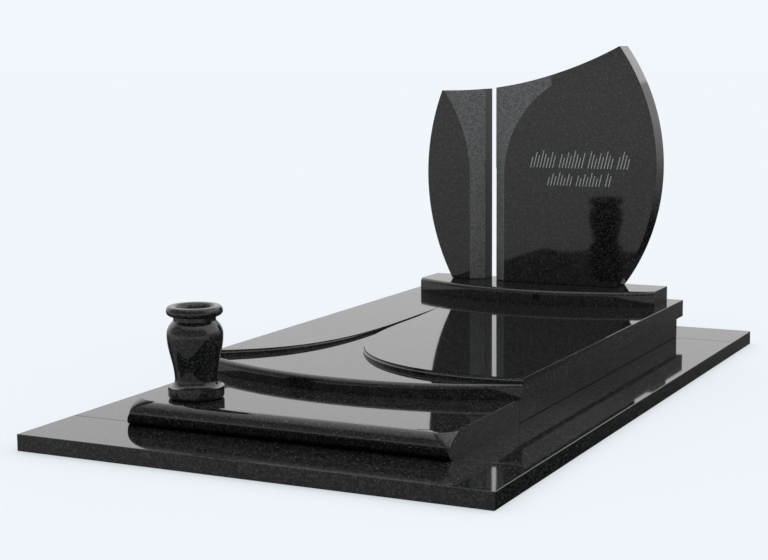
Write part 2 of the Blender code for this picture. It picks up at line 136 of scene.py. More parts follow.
class KerbSettings(bpy.types.PropertyGroup):
    """The front kerb's two cut corners."""

    step: bpy.props.FloatProperty(
        name="Step", description="Upright step between the top face and a corner cut",
        unit="LENGTH", default=0.0016, min=0.0, max=0.02)
    right_across: bpy.props.FloatProperty(
        name="Right across", description="Reach of the right corner's cut along the front",
        unit="LENGTH", default=0.100, min=0.01)
    right_along: bpy.props.FloatProperty(
        name="Right along", description="Reach of the right corner's cut along the side",
        unit="LENGTH", default=0.100, min=0.01)
    right_fall: bpy.props.FloatProperty(
        name="Right fall", description="Depth of the right corner's tip below the top",
        unit="LENGTH", default=0.050, min=0.01)
    left_across: bpy.props.FloatProperty(
        name="Left across", description="Reach of the left corner's cut along the front",
        unit="LENGTH", default=0.085, min=0.01)
    left_along: bpy.props.FloatProperty(
        name="Left along", description="Reach of the left corner's cut along the side",
        unit="LENGTH", default=0.075, min=0.01)
    left_fall: bpy.props.FloatProperty(
        name="Left fall", description="Depth of the left corner's tip below the top",
        unit="LENGTH", default=0.069, min=0.01)


class LedgerSettings(bpy.types.PropertyGroup):
    """The ledger slab's bowed front and its sunk wave."""

    bow: bpy.props.FloatProperty(
        name="Bow", description="How far the middle of the front stands out",
        unit="LENGTH", default=0.125, min=0.01)
    nose_left: bpy.props.FloatProperty(
        name="Left nose", description="Radius of the rounded front edge on the left",
        unit="LENGTH", default=0.018, min=0.001)
    nose_right: bpy.props.FloatProperty(
        name="Right nose", description="Radius of the rounded front edge at the right end",
        unit="LENGTH", default=0.008, min=0.001)
    slope: bpy.props.FloatProperty(
        name="Slope", description="Fall of the sunk floor for each metre towards the front",
        default=0.01555, min=0.0, max=0.1)


class SteleSettings(bpy.types.PropertyGroup):
    """The stele's base and its two wings."""

    base_bow: bpy.props.FloatProperty(
        name="Base bow", description="How far the middle of the base's front stands out",
        unit="LENGTH", default=0.1235, min=0.01)
    base_nose: bpy.props.FloatProperty(
        name="Base nose", description="Radius of the base's front top edge",
        unit="LENGTH", default=0.015, min=0.001)
    facet_depth: bpy.props.FloatProperty(
        name="Facet depth", description="Depth of the facets at the wings' inner edges",
        unit="LENGTH", default=0.028, min=0.001)
    crown_radius: bpy.props.FloatProperty(
        name="Crown radius", description="Radius of the hollow line over both wings",
        unit="LENGTH", default=1.42, min=0.7)
    arris: bpy.props.FloatProperty(
        name="Arris", description="Width of the small bevel along the stones' edges",
        unit="LENGTH", default=0.0016, min=0.0, max=0.01)


class StrokeSettings(bpy.types.PropertyGroup):
    """Rows of shallow strokes on the larger wing."""

    pitch: bpy.props.FloatProperty(
        name="Pitch", description="Distance from one stroke to the next",
        unit="LENGTH", default=0.012, min=0.002)
    width: bpy.props.FloatProperty(
        name="Width", description="Width of a stroke",
        unit="LENGTH", default=0.0035, min=0.0005)
    depth: bpy.props.FloatProperty(
        name="Depth", description="Depth of a stroke",
        unit="LENGTH", default=0.001, min=0.0002)
    lean: bpy.props.FloatProperty(
        name="Lean", description="Sideways lean of a stroke for each unit of its height",
        default=0.25, min=-1.0, max=1.0)
    group: bpy.props.IntProperty(
        name="Group", description="Strokes in a group before a gap", default=8, min=1)


# Node helpers

# Sockets of a Mix node set to colours, which share their names with others
MIX_FACTOR, MIX_FIRST, MIX_SECOND = 0, 6, 7
MIX_RESULT = 2
BLACK = (0.0, 0.0, 0.0, 1.0)
WHITE = (1.0, 1.0, 1.0, 1.0)


def add_node(tree, kind, settings=None, values=None):
    """Add a node with its settings. Each value is a plain one or a socket to link."""
    node = tree.nodes.new(kind)
    for key, value in (settings or {}).items():
        setattr(node, key, value)
    for key, value in (values or {}).items():
        if isinstance(value, bpy.types.NodeSocket):
            tree.links.new(value, node.inputs[key])
        else:
            node.inputs[key].default_value = value
    return node


def add_sums(tree, known, steps):
    """Add the sum of each step (name, operation, values), and keep its result by its name."""
    for name, operation, *values in steps:
        sockets = {i: known.get(value, value) for i, value in enumerate(values)}
        known[name] = add_node(tree, "ShaderNodeMath", {"operation": operation}, sockets).outputs[0]


def set_ramp(node, stops):
    """Fill a colour ramp from (position, colour) stops."""
    elements = node.color_ramp.elements
    while len(elements) > 1:
        elements.remove(elements[-1])
    elements[0].position, elements[0].color = stops[0]
    for position, color in stops[1:]:
        elements.new(position).color = color


def start_material(name):
    """A new material, its node tree, its shader and the place on the object."""
    material = bpy.data.materials.new(name)
    material.use_nodes = True
    tree = material.node_tree
    place = add_node(tree, "ShaderNodeTexCoord").outputs["Object"]
    return material, tree, tree.nodes["Principled BSDF"], place


# Granite

GRANITE_IOR = 1.5
# Least and most roughness, and strength of the relief, that polishing and honing leave
ROUGHNESS = {"polished": (0.035, 0.06), "honed": (0.42, 0.50)}
RELIEF = {"polished": 0.02, "honed": 0.25}
RELIEF_MM = 0.1
# Where the three ground colours stand in the mix of grains and cloud
GROUND_STOPS = (0.10, 0.36, 0.56)
# A speck's core and rim as shares of its cell, and the share of cells that stay without one
SPECK_CORE = 0.10
SPECK_RIM = 0.20
EMPTY_CELLS = 0.58
# Colours of the specks, each from this share of the cells on
SPECK_COLORS = ((0.0, "#818486"), (0.5, "#7a8594"), (0.75, "#8f8673"), (0.9, "#aeb1b2"))


def granite(name, finish, shift):
    """Black gabbro sold as granite, sawn and polished to a mirror or honed to a dull grey.

    The eye sees a near-black ground of fine grains with a few pale, golden and blue crystals.
    """
    settings = bpy.context.scene.monument_granite
    material, tree, shader, place = start_material(name)
    moved = add_node(tree, "ShaderNodeMapping", values={"Location": shift, "Vector": place})
    vector = moved.outputs["Vector"]
    cells_per_metre = 1 / (settings.grain_mm * MM)
    cloud = add_node(tree, "ShaderNodeTexNoise",
                     values={"Scale": cells_per_metre / 2, "Detail": 3.0, "Roughness": 0.65,
                             "Vector": vector})
    grains = add_node(tree, "ShaderNodeTexVoronoi", {"feature": "F1"},
                      {"Scale": cells_per_metre, "Randomness": 1.0, "Vector": vector})
    tone = add_node(tree, "ShaderNodeSeparateColor", values={"Color": grains.outputs["Color"]})
    blend = add_node(tree, "ShaderNodeMath", {"operation": "MULTIPLY"},
                     {0: tone.outputs["Red"], 1: cloud.outputs["Fac"]})
    ground = add_node(tree, "ShaderNodeValToRGB", values={"Fac": blend.outputs["Value"]})
    colors = (settings.ground, settings.veil, settings.glint)
    if finish == "honed":
        colors = (settings.honed, settings.honed_veil, settings.honed_veil)
    set_ramp(ground, [(stop, tuple(color)) for stop, color in zip(GROUND_STOPS, colors)])
    specks = add_node(tree, "ShaderNodeTexVoronoi", {"feature": "F1"},
                      {"Scale": 1 / (settings.speck_mm * MM), "Randomness": 1.0,
                       "Vector": vector})
    dot = add_node(tree, "ShaderNodeValToRGB", values={"Fac": specks.outputs["Distance"]})
    set_ramp(dot, [(SPECK_CORE, WHITE), (SPECK_RIM, BLACK)])
    chance = add_node(tree, "ShaderNodeSeparateColor", values={"Color": specks.outputs["Color"]})
    lit = add_node(tree, "ShaderNodeValToRGB", values={"Fac": chance.outputs["Green"]})
    set_ramp(lit, [(EMPTY_CELLS, BLACK), (1.0, WHITE)])
    hue = add_node(tree, "ShaderNodeValToRGB", values={"Fac": chance.outputs["Blue"]})
    hue.color_ramp.interpolation = "CONSTANT"
    set_ramp(hue, [(share, linear(value)) for share, value in SPECK_COLORS])
    amount = add_node(tree, "ShaderNodeMath", {"operation": "MULTIPLY"},
                      {0: dot.outputs["Color"], 1: lit.outputs["Color"]})
    color = add_node(tree, "ShaderNodeMix", {"data_type": "RGBA"},
                     {MIX_FACTOR: amount.outputs["Value"], MIX_FIRST: ground.outputs["Color"],
                      MIX_SECOND: hue.outputs["Color"]})
    smoothest, roughest = ROUGHNESS[finish]
    polish = add_node(tree, "ShaderNodeMapRange",
                      values={"To Min": smoothest, "To Max": roughest,
                              "Value": cloud.outputs["Fac"]})
    bump = add_node(tree, "ShaderNodeBump",
                    values={"Strength": RELIEF[finish], "Distance": RELIEF_MM * MM,
                            "Height": cloud.outputs["Fac"]})
    tree.links.new(color.outputs[MIX_RESULT], shader.inputs["Base Color"])
    tree.links.new(polish.outputs["Result"], shader.inputs["Roughness"])
    tree.links.new(bump.outputs["Normal"], shader.inputs["Normal"])
    shader.inputs["IOR"].default_value = GRANITE_IOR
    return material


SAW_MARK_MM = 40
DUST_MM = 3


def sawn_granite_painted_reflection(name):
    """Granite as the saw left it, a pale dusty grey with faint curved saw marks. The near-white of
    the grey is partly the sawn stone's own paler tone and partly painted reflection, which makes
    the underside mirror as a bright stripe in the polished stones beneath it.
    """
    material, tree, shader, place = start_material(name)
    marks = add_node(tree, "ShaderNodeTexWave", {"wave_type": "RINGS"},
                     {"Scale": 1 / (SAW_MARK_MM * MM), "Distortion": 1.5, "Detail": 2.0,
                      "Vector": place})
    dust = add_node(tree, "ShaderNodeTexNoise",
                    values={"Scale": 1 / (DUST_MM * MM), "Detail": 3.0, "Vector": place})
    tint = add_node(tree, "ShaderNodeValToRGB", values={"Fac": dust.outputs["Fac"]})
    # Near-white tint: partly the sawn stone's paler grey, partly painted reflection that shows as a
    # bright stripe in the polish beneath
    set_ramp(tint, [(0.35, linear("#cdcecd")), (0.65, linear("#e6e6e4"))])
    bump = add_node(tree, "ShaderNodeBump",
                    values={"Strength": 0.3, "Distance": 0.3 * MM,
                            "Height": marks.outputs["Fac"]})
    tree.links.new(tint.outputs["Color"], shader.inputs["Base Color"])
    tree.links.new(bump.outputs["Normal"], shader.inputs["Normal"])
    shader.inputs["Roughness"].default_value = 0.8
    return material


CHALK_MM = 2


def stroke_paint():
    """Matt light grey paint rubbed into cut strokes, a little uneven and chalky."""
    settings = bpy.context.scene.monument_granite
    material, tree, shader, place = start_material("matt_grey_stroke_paint")
    chalk = add_node(tree, "ShaderNodeTexNoise",
                     values={"Scale": 1 / (CHALK_MM * MM), "Detail": 2.0, "Vector": place})
    tint = add_node(tree, "ShaderNodeValToRGB", values={"Fac": chalk.outputs["Fac"]})
    set_ramp(tint, [(0.3, linear("#bcc0c1")), (0.7, tuple(settings.fill))])
    bump = add_node(tree, "ShaderNodeBump",
                    values={"Strength": 0.3, "Distance": 0.2 * MM,
                            "Height": chalk.outputs["Fac"]})
    tree.links.new(tint.outputs["Color"], shader.inputs["Base Color"])
    tree.links.new(bump.outputs["Normal"], shader.inputs["Normal"])
    shader.inputs["Roughness"].default_value = 0.7
    return material


def shared(name, make, **values):
    """The material of this name, made the first time it is asked for."""
    return bpy.data.materials.get(name) or make(name, **values)


def polished():
    """Mirror polish of the kerb, the slab, the plinth, the base and the wings."""
    return shared("polished_black_granite", granite, finish="polished", shift=(0.0, 0.0, 0.0))


def polished_strip():
    """The same polish from another block, on the surround."""
    return shared("polished_black_granite_strip", granite, finish="polished",
                  shift=(0.31, 0.17, 0.43))


def polished_vase():
    """The same polish on the turned vase."""
    return shared("polished_black_granite_turned", granite, finish="polished",
                  shift=(0.83, 0.57, 0.21))


def honed():
    """Dull grey facets along the gap between the wings."""
    return shared("honed_black_granite", granite, finish="honed", shift=(0.12, 0.66, 0.35))


def sawn_painted_reflection():
    """Sawn underside of the slab, over the hollow space, whose pale grey is partly painted
    reflection.
    """
    return shared("sawn_underside_painted_reflection", sawn_granite_painted_reflection)


# Mesh helpers

# Points this close are one, edges this flat are no edges, and ends this close to a plane are on it
MERGE_DISTANCE = 0.02 * MM
FLAT_ANGLE = 0.0005
TOUCH = 0.01 * MM
# Least turn between the two faces at a real corner
CORNER_ANGLE = math.radians(35)
X, Y, Z = range(3)


def make_piece(name, bm, materials, flat_area=0.004, sharp_angle=14):
    """An object with its faces out, curved faces smooth and large plain faces flat."""
    bmesh.ops.recalc_face_normals(bm, faces=bm.faces)
    mesh = bpy.data.meshes.new(name)
    bm.to_mesh(mesh)
    bm.free()
    mesh.shade_smooth()
    mesh.set_sharp_from_angle(angle=math.radians(sharp_angle))
    for face in mesh.polygons:
        face.use_smooth = face.area < flat_area
    for material in materials:
        mesh.materials.append(material)
    obj = bpy.data.objects.new(name, mesh)
    bpy.context.scene.collection.objects.link(obj)
    return obj


def settle(obj, node):
    """Hand a finished piece to its body, in place of the plain solid it stands for."""
    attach(obj, BODY)
    if node:
        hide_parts(node)


def evaluated_mesh(obj):
    """A plain mesh of the object with its modifiers done."""
    graph = bpy.context.evaluated_depsgraph_get()
    return bpy.data.meshes.new_from_object(obj.evaluated_get(graph))


def in_order(mesh):
    """A bmesh with points and faces sorted by place, because a Boolean's order varies."""
    verts = sorted(mesh.vertices, key=lambda vert: tuple(vert.co))
    places = {vert.index: i for i, vert in enumerate(verts)}
    faces = []
    for face in mesh.polygons:
        ring = [places[i] for i in face.vertices]
        first = ring.index(min(ring))
        faces.append((ring[first:] + ring[:first], face.material_index))
    bm = bmesh.new()
    points = [bm.verts.new(vert.co) for vert in verts]
    for ring, slot in sorted(faces):
        bm.faces.new([points[i] for i in ring]).material_index = slot
    return bm


def merged(mesh):
    """A bmesh of a plain mesh, which it removes, with double points and flat edges gone."""
    bm = in_order(mesh)
    bpy.data.meshes.remove(mesh)
    bmesh.ops.remove_doubles(bm, verts=bm.verts, dist=MERGE_DISTANCE)
    bmesh.ops.dissolve_limit(bm, angle_limit=FLAT_ANGLE, verts=bm.verts, edges=bm.edges,
                             delimit={"MATERIAL"})
    return bm


def cut_mesh(stone, cutters):
    """A bmesh of the stone with every cutter taken out, and all of the helpers removed."""
    for cutter in cutters:
        modifier = stone.modifiers.new("cut", "BOOLEAN")
        modifier.operation = "DIFFERENCE"
        modifier.solver = "EXACT"
        modifier.object = cutter
    mesh = evaluated_mesh(stone)
    for helper in [stone] + cutters:
        bpy.data.objects.remove(helper, do_unlink=True)
    return merged(mesh)


def helper_object(name, bm, slots=1):
    """A bare object for a cut."""
    bmesh.ops.recalc_face_normals(bm, faces=bm.faces)
    mesh = bpy.data.meshes.new(name)
    bm.to_mesh(mesh)
    bm.free()
    for _ in range(slots):
        mesh.materials.append(None)
    obj = bpy.data.objects.new(name, mesh)
    bpy.context.scene.collection.objects.link(obj)
    return obj


def soften(bm, width, test, segments=2):
    """Bevel the edges that the test picks."""
    bmesh.ops.recalc_face_normals(bm, faces=bm.faces)
    edges = [edge for edge in bm.edges if len(edge.link_faces) == 2 and test(edge)]
    bmesh.ops.bevel(bm, geom=edges, offset=width, segments=segments, profile=0.5,
                    affect="EDGES", clamp_overlap=False)


def crisp(edge):
    """Whether an edge is a real corner between two faces."""
    return edge.calc_face_angle(0.0) > CORNER_ANGLE


def ends_on(edge, axis, *places):
    """Whether each end of an edge is at one of these places on an axis."""
    return all(any(abs(vert.co[axis] - place) < TOUCH for place in places) for vert in edge.verts)


def extrude_outline(bm, outline, shift):
    """Fill a flat outline of points and extrude it by a vector."""
    face = bm.faces.new([bm.verts.new(point) for point in outline])
    made = bmesh.ops.extrude_face_region(bm, geom=[face])
    moved = [item for item in made["geom"] if isinstance(item, bmesh.types.BMVert)]
    bmesh.ops.translate(bm, vec=Vector(shift), verts=moved)


def bridge_rings(bm, rings, tip=None):
    """Skin a stack of rings with equal point counts, and close its first end flat or in a tip."""
    loops = [[bm.verts.new(point) for point in ring] for ring in rings]
    if tip is None:
        bm.faces.new(loops[0])
    else:
        point = bm.verts.new(tip)
        for a, b in zip(loops[0], loops[0][1:] + loops[0][:1]):
            bm.faces.new((point, a, b))
    for lower, upper in zip(loops[:-1], loops[1:]):
        for i in range(len(lower)):
            j = (i + 1) % len(lower)
            bm.faces.new((lower[i], lower[j], upper[j], upper[i]))
    bm.faces.new(loops[-1])


def bow_radius(half_width, bow):
    """Radius of an arc that bows out by this much over its half width."""
    return (half_width ** 2 + bow ** 2) / (2 * bow)


# Front kerb

KERB_STEPS = 40
CUT_STEPS = 32
# Rings of a cut crowd towards its tip by this power, and the tip stands out this far at the side
CUT_CROWDING = 1.5
CUT_TIP_OUT = 1.5 * MM
# How far a cutter stands out of the stone, for each unit of the cut's reach along the side
CUTTER_REACH = 3
# Power of the swell down to the tip, share of the cut that swells, and splay at its front end
RIGHT_CUT_FORM = {"ease": 0.60, "swell": 0.55, "splay": 0.0}
LEFT_CUT_FORM = {"ease": 0.29, "swell": 0.95, "splay": 0.50}
# The left cut's step for each unit of the right one's
LEFT_CUT_STEP = 0.5


def kerb_outline():
    """Section of the kerb: a flat top and back, and a half-round nose."""
    radius = (KERB_HIGH.z - KERB_LOW.z) / 2
    points = [(KERB_LOW.x, KERB_HIGH.y, KERB_HIGH.z)]
    for i in range(KERB_STEPS + 1):
        angle = math.pi / 2 + math.pi * i / KERB_STEPS
        y = KERB_LOW.y + radius + radius * math.cos(angle)
        points.append((KERB_LOW.x, y, KERB_LOW.z + radius + radius * math.sin(angle)))
    points.append((KERB_LOW.x, KERB_HIGH.y, KERB_LOW.z))
    return points


def corner_cutter(side, step, across, along, fall, ease, swell, splay):
    """The cut at a front corner: an arc on the top face that swells down to a tip on the nose."""
    radius = (KERB_HIGH.z - KERB_LOW.z) / 2
    half = KERB_HIGH.x
    tip_x = side * (half + CUT_TIP_OUT)
    tip_y = KERB_LOW.y + radius - math.sqrt(max(radius ** 2 - (radius - fall) ** 2, 0.0))
    reach = CUTTER_REACH * along

    def level(share):
        below = KERB_HIGH.z - step
        if share <= swell:
            return below - (fall - step) * (1 - (share / swell) ** ease)
        return below + step / 2 * (share - swell) / (1 - swell)

    def ring(share, z):
        points = []
        for i in range(CUT_STEPS + 1):
            angle = math.pi / 2 * i / CUT_STEPS
            x = side * (half - across * (1 - math.sin(angle)))
            y = KERB_LOW.y + radius + along * (1 - math.cos(angle))
            points.append((tip_x + (x - tip_x) * share, tip_y + (y - tip_y) * share))
        points.append((points[-1][0] + side * reach, points[-1][1]))
        points.append((tip_x + side * 2 * reach, tip_y - reach))
        points.append((points[0][0] - side * splay * reach, tip_y - reach))
        return [(x, y, z) for x, y in points]

    shares = [(k / CUT_STEPS) ** CUT_CROWDING for k in range(1, CUT_STEPS + 1)]
    rings = [ring(share, level(share)) for share in shares]
    rings.append(ring(1.0, KERB_HIGH.z + reach))
    bm = bmesh.new()
    bridge_rings(bm, rings, (tip_x, tip_y, KERB_HIGH.z - fall))
    return helper_object("corner_cut", bm)


class MONUMENT_OT_kerb(bpy.types.Operator):
    """Make the front kerb with its half-round nose and its two cut corners."""

    bl_idname = "monument.kerb"
    bl_label = "Front kerb"

    def execute(self, context):
        settings = context.scene.monument_kerb
        bm = bmesh.new()
        extrude_outline(bm, kerb_outline(), (KERB_HIGH.x - KERB_LOW.x, 0, 0))
        right = corner_cutter(1, settings.step, settings.right_across, settings.right_along,
                              settings.right_fall, **RIGHT_CUT_FORM)
        left = corner_cutter(-1, settings.step * LEFT_CUT_STEP, settings.left_across,
                             settings.left_along, settings.left_fall, **LEFT_CUT_FORM)
        bm = cut_mesh(helper_object("kerb_block", bm), [right, left])

        def side_top(edge):
            return ends_on(edge, Z, KERB_HIGH.z) and ends_on(edge, X, -KERB_HIGH.x, KERB_HIGH.x)

        soften(bm, context.scene.monument_stele.arris, side_top)
        kerb = make_piece("front_kerb_stone", bm, [polished()])
        settle(kerb, "front_kerb")
        return {"FINISHED"}


# Ledger slab

FRONT_STEPS = 96
NOSE_STEPS = 14
WAVE_STEPS = 110
# Where the wave's two lines part, and what guides each, as shares of half width and of length
WAVE_START = (-0.450, 0.716)
WAVE_LEFT = [(-0.450, 0.424), (-0.327, 0.201)]
WAVE_RIGHT = [(-0.305, 0.492), (-0.697, 0.160), (0.231, 0.026)]
# Where each line ends at the slab's side, behind its front corner
WAVE_LEFT_END = 0.026
WAVE_RIGHT_END = 0.013
# The cove in the wave's riser, as shares of the riser's height
COVE_STEPS = 8
COVE_TOP = 0.16
COVE_FOOT = 0.55
COVE_OUT = 0.34
# A face whose normal points down this far is an underside
UNDERSIDE = -0.99


def wave_point(share):
    """A point of the wave, from shares of the slab's half width and length."""
    length = LEDGER_HIGH.y - LEDGER_LOW.y
    return Vector((share[0] * LEDGER_HIGH.x, LEDGER_LOW.y + share[1] * length))


def bezier_point(points, share):
    """Point on a Bezier curve of any degree."""
    row = [Vector(point) for point in points]
    while len(row) > 1:
        row = [a.lerp(b, share) for a, b in zip(row[:-1], row[1:])]
    return row[0]


def riser_profile():
    """Riser of the wave as shares of its height (out, down): upright, a cove, and upright."""
    points = [(0.0, 0.0), (0.0, COVE_TOP)]
    for i in range(1, COVE_STEPS + 1):
        angle = math.pi / 2 * i / COVE_STEPS
        out = COVE_OUT * (1 - math.cos(angle))
        points.append((out, COVE_TOP + (COVE_FOOT - COVE_TOP) * math.sin(angle)))
    points.append((COVE_OUT, 1.0))
    return points


class Ledger:
    """The slab's mesh, made face by face around the two lines of its wave."""

    def __init__(self, settings):
        self.settings = settings
        self.bm = bmesh.new()
        self.half = LEDGER_HIGH.x
        self.corner = LEDGER_LOW.y + settings.bow
        self.start = wave_point(WAVE_START)

    def floor(self, y):
        """Height of the sunk floor, which falls towards the front."""
        return LEDGER_HIGH.z - self.settings.slope * (self.start.y - y)

    def column(self, x):
        """Points down the front edge at one place across it."""
        radius = bow_radius(self.half, self.settings.bow)
        y = LEDGER_LOW.y + radius - math.sqrt(radius ** 2 - x ** 2)
        share = min(max(x / self.half, 0.0), 1.0)
        nose = self.settings.nose_left
        nose += (self.settings.nose_right - self.settings.nose_left) * share
        top = self.floor(y + nose)
        points = []
        for i in range(NOSE_STEPS + 1):
            angle = math.pi / 2 * i / NOSE_STEPS
            inset = nose * (1 - math.sin(angle))
            points.append((x, y + inset, top - nose * (1 - math.cos(angle))))
        points.append((x, y, LEDGER_LOW.z))
        return [self.bm.verts.new(point) for point in points]

    def wave(self, side, middle, end, start):
        """Upper and lower line of one side of the wave, with the hollowed riser between them."""
        points = [self.start] + [wave_point(share) for share in middle]
        points.append(Vector((side * self.half, self.corner + end)))
        line = [bezier_point(points, i / WAVE_STEPS) for i in range(WAVE_STEPS + 1)]
        rows = []
        for k in range(1, WAVE_STEPS + 1):
            out = Vector((0.0, -1.0))
            if k < WAVE_STEPS:
                along = line[k + 1] - line[k - 1]
                out = Vector((side * along.y, -side * along.x)).normalized()
            fall = LEDGER_HIGH.z - self.floor(line[k].y)
            row = []
            for share_out, share_down in riser_profile():
                place = line[k] + out * share_out * fall
                level = LEDGER_HIGH.z - share_down * fall
                if share_down == 1.0:
                    level = self.floor(place.y)
                row.append(self.bm.verts.new((place.x, place.y, level)))
            rows.append(row)
        for a, b in zip(rows[0][:-1], rows[0][1:]):
            self.bm.faces.new((start, a, b))
        for row, after in zip(rows[:-1], rows[1:]):
            for i in range(len(row) - 1):
                self.bm.faces.new((row[i], after[i], after[i + 1], row[i + 1]))
        return [start] + [row[0] for row in rows], [start] + [row[-1] for row in rows], rows[-1]

    def build(self):
        """The whole slab: its front, the wave's two sides, and the plain faces around them."""
        new_face = self.bm.faces.new
        xs = [self.half * (2 * i / FRONT_STEPS - 1) for i in range(FRONT_STEPS + 1)]
        columns = [self.column(x) for x in xs]
        for left, right in zip(columns[:-1], columns[1:]):
            for k in range(len(left) - 1):
                new_face((left[k], left[k + 1], right[k + 1], right[k]))
        start = self.bm.verts.new((self.start.x, self.start.y, LEDGER_HIGH.z))
        upper_left, lower_left, end_left = self.wave(-1, WAVE_LEFT, WAVE_LEFT_END, start)
        upper_right, lower_right, end_right = self.wave(1, WAVE_RIGHT, WAVE_RIGHT_END, start)
        backs = []
        for side in (-1, 1):
            x = side * self.half
            heights = (LEDGER_HIGH.z, LEDGER_LOW.z)
            backs.append([self.bm.verts.new((x, LEDGER_HIGH.y, z)) for z in heights])
        left_back, right_back = backs
        new_face(upper_left + [left_back[0], right_back[0]] + upper_right[:0:-1])
        new_face(lower_left + [column[0] for column in columns] + lower_right[:0:-1])
        new_face(left_back + columns[0][::-1] + end_left[::-1])
        new_face(right_back + columns[-1][::-1] + end_right[::-1])
        new_face(left_back + right_back[::-1])
        new_face([column[-1] for column in columns] + [right_back[1], left_back[1]])
        return self.bm


class MONUMENT_OT_ledger(bpy.types.Operator):
    """Make the ledger slab with its bowed front and its sunk wave."""

    bl_idname = "monument.ledger"
    bl_label = "Ledger slab"

    def execute(self, context):
        bm = Ledger(context.scene.monument_ledger).build()

        def outer_top(edge):
            on_side = ends_on(edge, X, -LEDGER_HIGH.x, LEDGER_HIGH.x)
            on_back = ends_on(edge, Y, LEDGER_HIGH.y)
            return ends_on(edge, Z, LEDGER_HIGH.z) and crisp(edge) and (on_side or on_back)

        soften(bm, context.scene.monument_stele.arris, outer_top)
        # The underside's pale sawn grey is partly painted reflection
        slab = make_piece("ledger_stone", bm, [polished(), sawn_painted_reflection()])
        for face in slab.data.polygons:
            if face.normal.z < UNDERSIDE:
                face.material_index = 1
        settle(slab, "ledger_slab")
        return {"FINISHED"}


# Stele base, a bar that follows a rule and is made by geometry nodes

BASE_STEPS = 96
BASE_NOSE_STEPS = 12
# The left end, read off the photograph once more, stands this far inside the packed solid's
LEFT_TRIM = 0.0125


def start_tree(name, counts, sizes):
    """A geometry node tree with named inputs, and its sockets by name."""
    tree = bpy.data.node_groups.new(name, "GeometryNodeTree")
    kinds = [("Geometry", "NodeSocketGeometry"), *((count, "NodeSocketInt") for count in counts),
             *((size, "NodeSocketFloat") for size in sizes), ("Material", "NodeSocketMaterial")]
    for socket, kind in kinds:
        tree.interface.new_socket(socket, in_out="INPUT", socket_type=kind)
    tree.interface.new_socket("Geometry", in_out="OUTPUT", socket_type="NodeSocketGeometry")
    source = add_node(tree, "NodeGroupInput")
    place = add_node(tree, "GeometryNodeInputPosition")
    parts = add_node(tree, "ShaderNodeSeparateXYZ", values={0: place.outputs[0]})
    known = {socket: source.outputs[socket] for socket in (*counts, *sizes, "Material")}
    return tree, {**known, "x": parts.outputs[0], "y": parts.outputs[1], "z": parts.outputs[2]}


def end_tree(tree, geometry, offset, material):
    """Realize the tree's geometry, shift its points, give it its material and put it out."""
    real = add_node(tree, "GeometryNodeRealizeInstances", values={"Geometry": geometry})
    placed = add_node(tree, "GeometryNodeSetPosition",
                      values={"Geometry": real.outputs["Geometry"], "Offset": offset})
    dressed = add_node(tree, "GeometryNodeSetMaterial",
                       values={"Geometry": placed.outputs["Geometry"], "Material": material})
    add_node(tree, "NodeGroupOutput", values={"Geometry": dressed.outputs["Geometry"]})


def base_tree():
    """Geometry nodes: a bar whose front bows out along an arc."""
    tree, known = start_tree("bowed_bar", (), ("Half width", "Depth", "Height", "Bow"))
    add_sums(tree, known, (
        ("width", "MULTIPLY", "Half width", 2.0),
        ("half squared", "POWER", "Half width", 2.0),
        ("bow squared", "POWER", "Bow", 2.0),
        ("sum of squares", "ADD", "half squared", "bow squared"),
        ("twice the bow", "MULTIPLY", "Bow", 2.0),
        ("radius", "DIVIDE", "sum of squares", "twice the bow"),
        ("radius squared", "POWER", "radius", 2.0),
        ("x squared", "POWER", "x", 2.0),
        ("rise squared", "SUBTRACT", "radius squared", "x squared"),
        ("rise", "SQRT", "rise squared"),
        ("fall", "SUBTRACT", "radius", "rise"),
        ("is front", "LESS_THAN", "y", 0.0),
        ("shift", "MULTIPLY", "fall", "is front"),
    ))
    bar_size = add_node(tree, "ShaderNodeCombineXYZ",
                        values={"X": known["width"], "Y": known["Depth"], "Z": known["Height"]})
    bar = add_node(tree, "GeometryNodeMeshCube",
                   values={"Vertices X": BASE_STEPS + 1, "Size": bar_size.outputs[0]})
    shift = add_node(tree, "ShaderNodeCombineXYZ", values={"Y": known["shift"]})
    end_tree(tree, bar.outputs["Mesh"], shift.outputs[0], known["Material"])
    return tree


def run_tree(tree, values):
    """Evaluate a geometry node tree on an empty mesh and return the plain mesh."""
    host = bpy.data.objects.new("host", bpy.data.meshes.new("host"))
    bpy.context.scene.collection.objects.link(host)
    modifier = host.modifiers.new("rule", "NODES")
    modifier.node_group = tree
    for item in tree.interface.items_tree:
        if item.in_out == "INPUT" and item.name in values:
            modifier[item.identifier] = values[item.name]
    mesh = evaluated_mesh(host)
    bpy.data.objects.remove(host, do_unlink=True)
    if not mesh.polygons:
        raise RuntimeError(f"{tree.name} came out empty")
    return mesh


class MONUMENT_OT_base(bpy.types.Operator):
    """Make the stele's base, whose front bows out and has a rounded top edge."""

    bl_idname = "monument.base"
    bl_label = "Stele base"

    def execute(self, context):
        settings = context.scene.monument_stele
        low = BASE_LOW + Vector((LEFT_TRIM, 0, 0))
        size = BASE_HIGH - low
        mesh = run_tree(base_tree(), {
            "Half width": size.x / 2, "Depth": size.y, "Height": size.z,
            "Bow": settings.base_bow, "Material": polished()})
        mesh.transform(Matrix.Translation((low + BASE_HIGH) / 2))
        bm = merged(mesh)

        def front_top(edge):
            front = all(vert.co.y < BASE_LOW.y + settings.base_bow + MM for vert in edge.verts)
            return front and ends_on(edge, Z, BASE_HIGH.z) and crisp(edge)

        soften(bm, settings.base_nose, front_top, BASE_NOSE_STEPS)
        base = make_piece("stele_base_stone", bm, [polished()])
        settle(base, "stele_base")
        return {"FINISHED"}


# Stele wings

OUTLINE_STEPS = 90
FACET_STEPS = 60
# Halvings of the height at which a wing's side meets the crown, and how far up its arc they look
HALVINGS = 40
SEARCH_SHARE = 0.95
# Lowest point of the hollow line over both wings
CROWN_LOW_X = -0.345
CROWN_LOW_HEIGHT = 0.690
# How far a facet's cutter stands out beside the stone and in front, in depths of the facet
CUTTER_BESIDE = 2
CUTTER_AHEAD = 3


